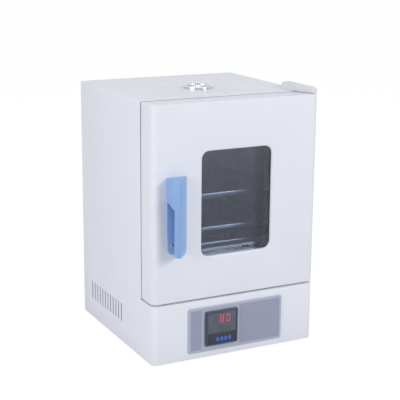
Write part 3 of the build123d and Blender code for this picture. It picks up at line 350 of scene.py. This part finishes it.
# Perforated sheet with staggered round holes and all four edges folded down
def makeTray(name, node, body):
    (x0, y0, z0), (x1, y1, z1) = boxMm(node)
    pitch = trayStyle["pitchMm"]
    rowPitch = pitch * math.sqrt(3) / 2
    fold = trayStyle["foldMm"]
    middleX, middleY = (x0 + x1) / 2, (y0 + y1) / 2
    columns = int((x1 - x0 - 2 * trayStyle["marginMm"]) / pitch)
    rows = int((y1 - y0 - 2 * trayStyle["marginMm"]) / rowPitch)
    left = middleX - columns * pitch / 2
    front = middleY - rows * rowPitch / 2
    points, known, faces = [], {}, []

    def vertex(x, y, z=z1):
        key = (round(x, 3), round(y, 3), round(z, 3))
        if key not in known:
            known[key] = len(points)
            points.append((x, y, z))
        return known[key]

    def holeCell(cx, cy):
        a, b = pitch / 2, rowPitch / 2
        edge = [(a, 0), (a, b), (0, b), (-a, b), (-a, 0), (-a, -b), (0, -b), (a, -b)]
        count = trayStyle["holePoints"]
        radius = trayStyle["holeMm"] / 2
        turns = [2 * math.pi * i / count for i in range(count)]
        ring = [vertex(cx + radius * math.cos(turn), cy + radius * math.sin(turn)) for turn in turns]
        outer = [vertex(cx + x, cy + y) for x, y in edge]
        for i in range(len(outer)):
            beside = outer[(i + 1) % len(outer)]
            faces.append((outer[i], beside, ring[(2 * i + 2) % count], ring[2 * i + 1], ring[2 * i]))

    for row in range(rows):
        cy = front + (row + 0.5) * rowPitch
        shift = row % 2
        for column in range(columns - shift):
            holeCell(left + (column + 0.5 + shift / 2) * pitch, cy)
        if shift:
            for side in (-1, 1):
                outerX = middleX + side * columns * pitch / 2
                innerX = outerX - side * pitch / 2
                near, far = cy - rowPitch / 2, cy + rowPitch / 2
                faces.append((vertex(outerX, near), vertex(outerX, far), vertex(innerX, far),
                              vertex(innerX, cy), vertex(innerX, near)))

    # flat border round the holes
    right, back = left + columns * pitch, front + rows * rowPitch
    flatX, flatY = (x0 + fold, x1 - fold), (y0 + fold, y1 - fold)
    xs = [left + i * pitch / 2 for i in range(2 * columns + 1)]
    ys = [front + i * rowPitch for i in range(rows + 1)]
    for edgeY, flat in ((front, flatY[0]), (back, flatY[1])):
        for a, b in zip(xs, xs[1:]):
            faces.append((vertex(a, edgeY), vertex(b, edgeY), vertex(b, flat), vertex(a, flat)))
        for flatSide, a in ((flatX[0], xs[0]), (flatX[1], xs[-1])):
            faces.append((vertex(a, edgeY), vertex(a, flat), vertex(flatSide, flat), vertex(flatSide, edgeY)))
    for edgeX, flat in ((left, flatX[0]), (right, flatX[1])):
        for row, (a, b) in enumerate(zip(ys, ys[1:])):
            inner = [vertex(edgeX, a), vertex(edgeX, b)]
            if row % 2 == 0:
                inner.insert(1, vertex(edgeX, (a + b) / 2))
            faces.append(tuple(inner + [vertex(flat, b), vertex(flat, a)]))

    # rounded fold and the lip below it
    loopX = [flatX[0]] + xs + [flatX[1]]
    loopY = [flatY[0]] + ys + [flatY[1]]
    loop = [(x, flatY[0]) for x in loopX] + [(flatX[1], y) for y in loopY[1:]]
    loop += [(x, flatY[1]) for x in loopX[-2::-1]] + [(flatX[0], y) for y in loopY[-2:0:-1]]
    steps = [(fold * math.sin(a), -fold * (1 - math.cos(a))) for a in arc(90, trayStyle["foldSteps"])]
    steps.append((fold, z0 - z1))
    rings = []
    slack = trayStyle["slackMm"]
    for out, drop in steps:
        ring = []
        for x, y in loop:
            sx = (x >= flatX[1] - slack) - (x <= flatX[0] + slack)
            sy = (y >= flatY[1] - slack) - (y <= flatY[0] + slack)
            ring.append(vertex(x + sx * out, y + sy * out, z1 + drop))
        rings.append(ring)
    for a, b in zip(rings, rings[1:]):
        for i in range(len(a)):
            j = (i + 1) % len(a)
            faces.append((a[i], a[j], b[j], b[i]))

    tray = addPiece(name, points, faces, "brushedStainless", body, [node], "stainless_sheet")
    thickness = tray.modifiers.new("sheet", "SOLIDIFY")
    thickness.thickness = trayStyle["sheetMm"] * mm
    thickness.offset = -1.0


makeTray("floorTray", "floor_plate", "cabinet")
makeTray("lowerShelfTray", "shelf_lower", "lower_shelf")
makeTray("upperShelfTray", "shelf_upper", "upper_shelf")
print("perforated shelves made")

ventStyle = {
    "rimHighMm": 5.5, "rimWidthMm": 5.0, "rimSteps": 12, "rimSides": 128, "plateMm": 2.0,
    "plateSheetMm": 1.8, "discMm": 1.2,
    "windows": 4, "windowDeg": 44, "windowTurnDeg": 45, "windowInMm": 8.0, "windowOutMm": 20.0, "cells": 180,
    "ringsMm": [5.0, 8.0, 12.0, 16.0, 20.0, 22.5], "plateBoreMm": 2.0, "discBoreMm": 2.2,
    "stemMm": [(0.0, 0.2), (2.0, 0.2), (2.0, 8.0), (0.0, 8.0)], "stemSides": 32,
    "knobRadiusMm": 5.5, "knobHighMm": 9.0, "knobEdgeMm": 1.2, "knobEdgeSteps": 4, "knobSides": 64,
    "knobShoulderMm": 5.6,
    "knobWaistMm": [(2.2, 0.0), (4.6, 0.0), (4.6, 0.6), (3.9, 1.6), (3.8, 2.6), (4.2, 3.6), (5.0, 4.6)],
}


# Flat ring of polar cells with wedge-shaped windows left out
def windowedDisc(name, radii, z, thickness, finish, body, replaced):
    low, high = boxMm("vent_base")
    cx, cy = (low[0] + high[0]) / 2, (low[1] + high[1]) / 2
    steps = ventStyle["cells"]
    cellDeg = 360 / steps
    windowPitch = 360 / ventStyle["windows"]
    halfWindow = ventStyle["windowDeg"] / 2
    points, faces = [], []
    for step in range(steps):
        angle = math.radians(cellDeg * step)
        points += [(cx + r * math.cos(angle), cy + r * math.sin(angle), z) for r in radii]
    for step in range(steps):
        turn = ((step + 0.5) * cellDeg + ventStyle["windowTurnDeg"]) % windowPitch
        inWindow = turn < halfWindow or turn > windowPitch - halfWindow
        for i in range(len(radii) - 1):
            middle = (radii[i] + radii[i + 1]) / 2
            if inWindow and ventStyle["windowInMm"] < middle < ventStyle["windowOutMm"]:
                continue
            here, there = step * len(radii), (step + 1) % steps * len(radii)
            faces.append((here + i, there + i, there + i + 1, here + i + 1))
    disc = addPiece(name, points, faces, finish, body, replaced, "bright_chrome")
    sheet = disc.modifiers.new("sheet", "SOLIDIFY")
    sheet.thickness = thickness * mm
    sheet.offset = -1.0


def makeVent():
    low, high = boxMm("vent_base")
    centre = ((low[0] + high[0]) / 2, (low[1] + high[1]) / 2, low[2])
    radius = (high[0] - low[0]) / 2
    inner = radius - ventStyle["rimWidthMm"]
    middle, half = (radius + inner) / 2, ventStyle["rimWidthMm"] / 2
    top = ventStyle["rimHighMm"]
    rim = [(middle + half * math.cos(a), top - half + half * math.sin(a))
           for a in arc(180, ventStyle["rimSteps"])]
    profile = [(radius, 0.0)] + rim + [(inner, 0.0)]
    points, faces = latheMm(profile, centre, ventStyle["rimSides"], closed=True)
    addPiece("ventRim", points, faces, "platedChrome", "cabinet", ["vent_base"], "bright_chrome")
    plateRadii = [ventStyle["plateBoreMm"]] + ventStyle["ringsMm"] + [inner]
    windowedDisc("ventPlate", plateRadii, low[2] + ventStyle["plateMm"], ventStyle["plateSheetMm"],
                 "platedChrome", "cabinet", [])
    points, faces = latheMm(ventStyle["stemMm"], centre, ventStyle["stemSides"])
    addPiece("ventPivot", points, faces, "zincPlatedSteel", "cabinet")
    discLow, discHigh = boxMm("vent_disc")
    discRadii = [ventStyle["discBoreMm"]] + ventStyle["ringsMm"] + [(discHigh[0] - discLow[0]) / 2]
    windowedDisc("ventDisc", discRadii, discHigh[2], ventStyle["discMm"], "platedChrome", "damper",
                 ["vent_disc"])
    knobLow = boxMm("vent_knob")[0]
    r, h, e = ventStyle["knobRadiusMm"], ventStyle["knobHighMm"], ventStyle["knobEdgeMm"]
    crown = [(r - e + e * math.cos(a), h - e + e * math.sin(a)) for a in arc(90, ventStyle["knobEdgeSteps"])]
    profile = ventStyle["knobWaistMm"] + [(r, ventStyle["knobShoulderMm"])] + crown + [(0.0, h)]
    points, faces = latheMm(profile, (centre[0], centre[1], knobLow[2]), ventStyle["knobSides"])
    addPiece("ventKnob", points, faces, "platedChrome", "damper", ["vent_knob"], "bright_chrome")


makeVent()
print("vent made")

# Heights above the cabinet's underside and places from its left side, for the upper and the lower row
digitStyle = {"rows": (" 80", "   "), "rowLowMm": (70.8, 52.7), "rowHighMm": (87.8, 64.7),
              "leftMm": (130.2, 140.9), "widthMm": (8.6, 7.4), "pitchMm": (14.3, 10.0),
              "strokeMm": (2.0, 1.3), "proudMm": 0.05, "thickMm": 0.04, "gapMm": 0.25, "slimness": 0.86}
segmentSets = {"8": "abcdefg", "0": "abcdef", " ": ""}


# Seven-segment digits as thin six-sided bars on the display
def makeDigits():
    face = boxMm("display_lens")[0][1] - digitStyle["proudMm"]
    sideX, _, floorZ = boxMm("cabinet_shell")[0]
    bars = {"lit": ([], []), "dark": ([], [])}
    for row, shown in enumerate(digitStyle["rows"]):
        low, high = digitStyle["rowLowMm"][row] + floorZ, digitStyle["rowHighMm"][row] + floorZ
        width, stroke = digitStyle["widthMm"][row], digitStyle["strokeMm"][row]
        half = (high - low - stroke) / 2
        for place, character in enumerate(shown):
            left = sideX + digitStyle["leftMm"][row] + place * digitStyle["pitchMm"][row]
            for segment in "abcdefg":
                if segment in "adg":
                    levels = {"d": low + stroke / 2, "g": low + stroke / 2 + half, "a": high - stroke / 2}
                    level = levels[segment]
                    ends = ((left + stroke / 2, level), (left + width - stroke / 2, level))
                else:
                    x = left + stroke / 2 if segment in "ef" else left + width - stroke / 2
                    bottom = low + stroke / 2 + (half if segment in "bf" else 0)
                    ends = ((x, bottom), (x, bottom + half))
                points, faces = bars["lit" if segment in segmentSets[character] else "dark"]
                addShape(points, faces, *slabMm(barOutline(ends, stroke), face, face + digitStyle["thickMm"]))
    addPiece("litSegments", *bars["lit"], "litRedSegments", "cabinet", slot="lens_plastic")
    addPiece("unlitSegments", *bars["dark"], "darkSegments", "cabinet", slot="lens_plastic")


def barOutline(ends, stroke):
    (ax, az), (bx, bz) = ends
    length = math.hypot(bx - ax, bz - az)
    ux, uz = (bx - ax) / length, (bz - az) / length
    gap, h = digitStyle["gapMm"], stroke / 2 * digitStyle["slimness"]
    end = length - gap
    corners = [(gap, 0), (gap + h, h), (end - h, h), (end, 0), (end - h, -h), (gap + h, -h)]
    return [(ax + ux * s - uz * t, az + uz * s + ux * t) for s, t in corners]


makeDigits()
print("display made")

fieldStyle = {"rimMm": 5.0, "leftWideMm": 24.0, "clearMm": 6.0, "filmMm": 0.15, "seatMm": 0.01,
              "cornerMm": 1.2, "cornerSteps": 4, "recessMm": 0.6}


# Printed films in the panel's two recessed fields, left and right of the controller
def makePanelFields():
    low, high = boxMm("control_panel")
    rim = fieldStyle["rimMm"]
    right = boxMm("controller_body")[1][0] + fieldStyle["clearMm"]
    spans = {"leftFieldFilm": (low[0] + rim, low[0] + rim + fieldStyle["leftWideMm"]),
             "rightFieldFilm": (right, high[0] - rim)}
    back = low[1] + fieldStyle["recessMm"] - fieldStyle["seatMm"]
    front = back - fieldStyle["filmMm"]
    r = fieldStyle["cornerMm"]
    for name, (x0, x1) in spans.items():
        outline = []
        for cx, cz, start in ((x1 - r, high[2] - rim - r, 0), (x0 + r, high[2] - rim - r, 90),
                              (x0 + r, low[2] + rim + r, 180), (x1 - r, low[2] + rim + r, 270)):
            for turn in arc(90, fieldStyle["cornerSteps"]):
                angle = math.radians(start) + turn
                outline.append((cx + r * math.cos(angle), cz + r * math.sin(angle)))
        points, faces = slabMm(outline, front, back)
        addPiece(name, points, faces, "lilacFieldFilm", "cabinet", slot="panel_plastic")


makePanelFields()
print("panel fields made")

# Shares of the head's radius and height, and where the screws of each group stand
screwStyle = {"highShare": 0.6, "edgeShare": 0.35, "recessRim": 0.42, "recessFloor": 0.30, "rimDepth": 0.55,
              "floorDepth": 0.5, "sunkMm": 0.3, "crownDeg": 75, "crownSteps": 5, "sides": 24}
screwPlaces = {"backInsetMm": 8.0, "backLowMm": 20, "backHighMm": 10, "backHeadMm": 3.4,
               "inletInsetMm": 3.2, "inletHeadMm": 2.2, "handleSideMm": 10.0, "handleUpMm": 19.0,
               "handleHeadMm": 3.2}


# Pan-head screws with a round recess, all of one group in one mesh
def makeScrews(name, places, direction, body, headMm):
    points, faces = [], []
    axis = Vector(direction)
    turn = Vector((0, 0, 1)).rotation_difference(axis).to_matrix()
    high = headMm * screwStyle["highShare"]
    edge, sunk = screwStyle["edgeShare"], screwStyle["sunkMm"]
    crown = [(headMm * math.cos(a), high * edge + high * (1 - edge) * math.sin(a))
             for a in arc(screwStyle["crownDeg"], screwStyle["crownSteps"])]
    profile = [(0.0, -sunk), (headMm, -sunk)] + crown
    profile += [(headMm * screwStyle["recessRim"], high),
                (headMm * screwStyle["recessFloor"], high * screwStyle["rimDepth"]),
                (0.0, high * screwStyle["floorDepth"])]
    for place in places:
        ringPoints, ringFaces = latheMm(profile, (0, 0, 0), screwStyle["sides"])
        addShape(points, faces, [tuple(turn @ Vector(p) + Vector(place)) for p in ringPoints], ringFaces)
    joinPoints(addPiece(name, points, faces, "zincPlatedSteel", body))


def placeScrews():
    low, high = boxMm("back_panel")
    inset = screwPlaces["backInsetMm"]
    rows = (low[2] + screwPlaces["backLowMm"], (low[2] + high[2]) / 2, high[2] - screwPlaces["backHighMm"])
    places = [(x, high[1], z) for x in (low[0] + inset, high[0] - inset) for z in rows]
    makeScrews("backPanelScrews", places, (0, 1, 0), "cabinet", screwPlaces["backHeadMm"])
    low, high = boxMm("power_inlet")
    inset = screwPlaces["inletInsetMm"]
    middle = (low[2] + high[2]) / 2
    places = [(x, high[1], middle) for x in (low[0] + inset, high[0] - inset)]
    makeScrews("inletScrews", places, (0, 1, 0), "cabinet", screwPlaces["inletHeadMm"])
    low = boxMm("handle_backplate")[0]
    places = [(low[0] + screwPlaces["handleSideMm"], low[1], low[2] + screwPlaces["handleUpMm"])]
    makeScrews("handleScrews", places, (0, -1, 0), "door", screwPlaces["handleHeadMm"])


placeScrews()
print("screws placed")

# Each foot's section from the bore's floor to its outer edge, and its screw in the bore
footStyle = {"radiusMm": 12.0, "boreFloorMm": 3.2, "topEdgeMm": 0.6, "sides": 48, "screwHeadMm": 4.0,
             "soleMm": [(4.6, 3.2), (5.0, 2.8), (5.0, 0.3), (5.3, 0.0), (9.6, 0.0), (10.4, 0.35),
                        (10.9, 1.2)]}


def makeFeet():
    low, high = boxMm("rubber_feet")
    radius, floor = footStyle["radiusMm"], footStyle["boreFloorMm"]
    height = high[2] - low[2]
    profile = [(0.0, floor)] + footStyle["soleMm"]
    profile += [(radius, height - footStyle["topEdgeMm"]), (radius, height), (0.0, height)]
    across = (low[0] + radius, high[0] - radius)
    along = (low[1] + radius, high[1] - radius)
    centres = [(x, y) for x in across for y in along]
    points, faces = [], []
    for x, y in centres:
        addShape(points, faces, *latheMm(profile, (x, y, 0), footStyle["sides"]))
    joinPoints(addPiece("rubberFeet", points, faces, "blackFootRubber", "cabinet", ["rubber_feet"],
                        "foot_rubber"))
    places = [(x, y, floor) for x, y in centres]
    makeScrews("footScrews", places, (0, 0, -1), "cabinet", footStyle["screwHeadMm"])


makeFeet()
print("feet made")

# Camera set from the photograph's perspective: a long lens, above and to the left of the door
cameraStyle = {"placeMm": (-999.1, -1963.15, 833.02), "azimuth": -27.115, "fall": 13.986, "roll": 0.4705,
               "focalPixels": 1076.57, "framePixels": 400, "sensorMm": 36.0, "reachM": 100}


def makeCamera():
    data = bpy.data.cameras.new("photoCamera")
    camera = bpy.data.objects.new("photoCamera", data)
    bpy.context.scene.collection.objects.link(camera)
    a, e, r = (math.radians(cameraStyle[key]) for key in ("azimuth", "fall", "roll"))
    right = Vector((math.cos(a), math.sin(a), 0))
    back = Vector((math.sin(a) * math.cos(e), -math.cos(a) * math.cos(e), math.sin(e)))
    up = back.cross(right)
    right, up = math.cos(r) * right + math.sin(r) * up, -math.sin(r) * right + math.cos(r) * up
    place = Vector(cameraStyle["placeMm"]) * mm
    camera.matrix_world = Matrix.Translation(place) @ Matrix((right, up, back)).transposed().to_4x4()
    data.sensor_width = cameraStyle["sensorMm"]
    data.lens = cameraStyle["focalPixels"] / cameraStyle["framePixels"] * cameraStyle["sensorMm"]
    data.clip_end = cameraStyle["reachM"]
    bpy.context.scene.camera = camera


# The main light stands at the front right, so the handle's soft shadow falls to its left
lampStyle = {
    "keySoftbox": {"place": (1.7, -3.0, 1.9), "sizeM": 1.5, "watts": 56},
    "leftFill": {"place": (-3.2, -0.9, 1.5), "sizeM": 2.4, "watts": 55},
    "topSoftbox": {"place": (0.0, 0.2, 2.8), "sizeM": 2.4, "watts": 9},
}
lampAimM = (0, 0, 0.28)


def makeLamps():
    aim = Vector(lampAimM)
    for name, style in lampStyle.items():
        data = bpy.data.lights.new(name, "AREA")
        data.shape = "DISK"
        data.size = style["sizeM"]
        data.energy = style["watts"]
        lamp = bpy.data.objects.new(name, data)
        bpy.context.scene.collection.objects.link(lamp)
        lamp.location = style["place"]
        lamp.rotation_euler = (aim - lamp.location).to_track_quat("-Z", "Y").to_euler()


worldStyle = {"dim": "#EEF1F8", "dimStrength": 0.42, "whiteStrength": 1.0}


# White to the camera, through glass and in reflections, and a dim cool light on everything else
def makeWorld():
    world = bpy.data.worlds.new("studio")
    bpy.context.scene.world = world
    world.use_nodes = True
    tree = world.node_tree
    tree.nodes.clear()
    rays = addNode(tree, "ShaderNodeLightPath")
    seen = addNode(tree, "ShaderNodeMath", {"operation": "MAXIMUM"},
                   {0: rays.outputs["Is Camera Ray"], 1: rays.outputs["Is Transmission Ray"]})
    anySeen = addNode(tree, "ShaderNodeMath", {"operation": "MAXIMUM"},
                      {0: seen.outputs[0], 1: rays.outputs["Is Glossy Ray"]})
    dim = addNode(tree, "ShaderNodeBackground",
                  {"Color": srgb(worldStyle["dim"]), "Strength": worldStyle["dimStrength"]})
    white = addNode(tree, "ShaderNodeBackground",
                    {"Color": (1, 1, 1, 1), "Strength": worldStyle["whiteStrength"]})
    mixed = addNode(tree, "ShaderNodeMixShader", None,
                    {0: anySeen.outputs[0], 1: dim.outputs[0], 2: white.outputs[0]})
    addNode(tree, "ShaderNodeOutputWorld", None, {"Surface": mixed.outputs[0]})


floorStyle = {"halfM": 40.0, "paper": "#E8E8EA", "glowStrength": 1.10, "glowShare": 0.86}


# White paper that glows to the camera; the share that doesn't glow keeps the object's soft shadow
def makeFloor():
    size = floorStyle["halfM"]
    corners = [(-size, -size, 0), (size, -size, 0), (size, size, 0), (-size, size, 0)]
    mesh = bpy.data.meshes.new("studioFloor")
    mesh.from_pydata(corners, [], [(0, 1, 2, 3)])
    floor = bpy.data.objects.new("studioFloor", mesh)
    bpy.context.scene.collection.objects.link(floor)
    material = bpy.data.materials.new("whitePaperSweep")
    material.use_nodes = True
    tree = material.node_tree
    tree.nodes.clear()
    rays = addNode(tree, "ShaderNodeLightPath")
    glow = addNode(tree, "ShaderNodeEmission",
                   {"Color": (1, 1, 1, 1), "Strength": floorStyle["glowStrength"]})
    paper = addNode(tree, "ShaderNodeBsdfDiffuse", {"Color": srgb(floorStyle["paper"])})
    part = addNode(tree, "ShaderNodeMath", {"operation": "MULTIPLY", 1: floorStyle["glowShare"]},
                   {0: rays.outputs["Is Camera Ray"]})
    mixed = addNode(tree, "ShaderNodeMixShader", None,
                    {0: part.outputs[0], 1: paper.outputs[0], 2: glow.outputs[0]})
    addNode(tree, "ShaderNodeOutputMaterial", None, {"Surface": mixed.outputs[0]})
    mesh.materials.append(material)


makeCamera()
makeLamps()
makeWorld()
makeFloor()
bpy.context.scene.view_settings.view_transform = "Standard"
print("studio ready")
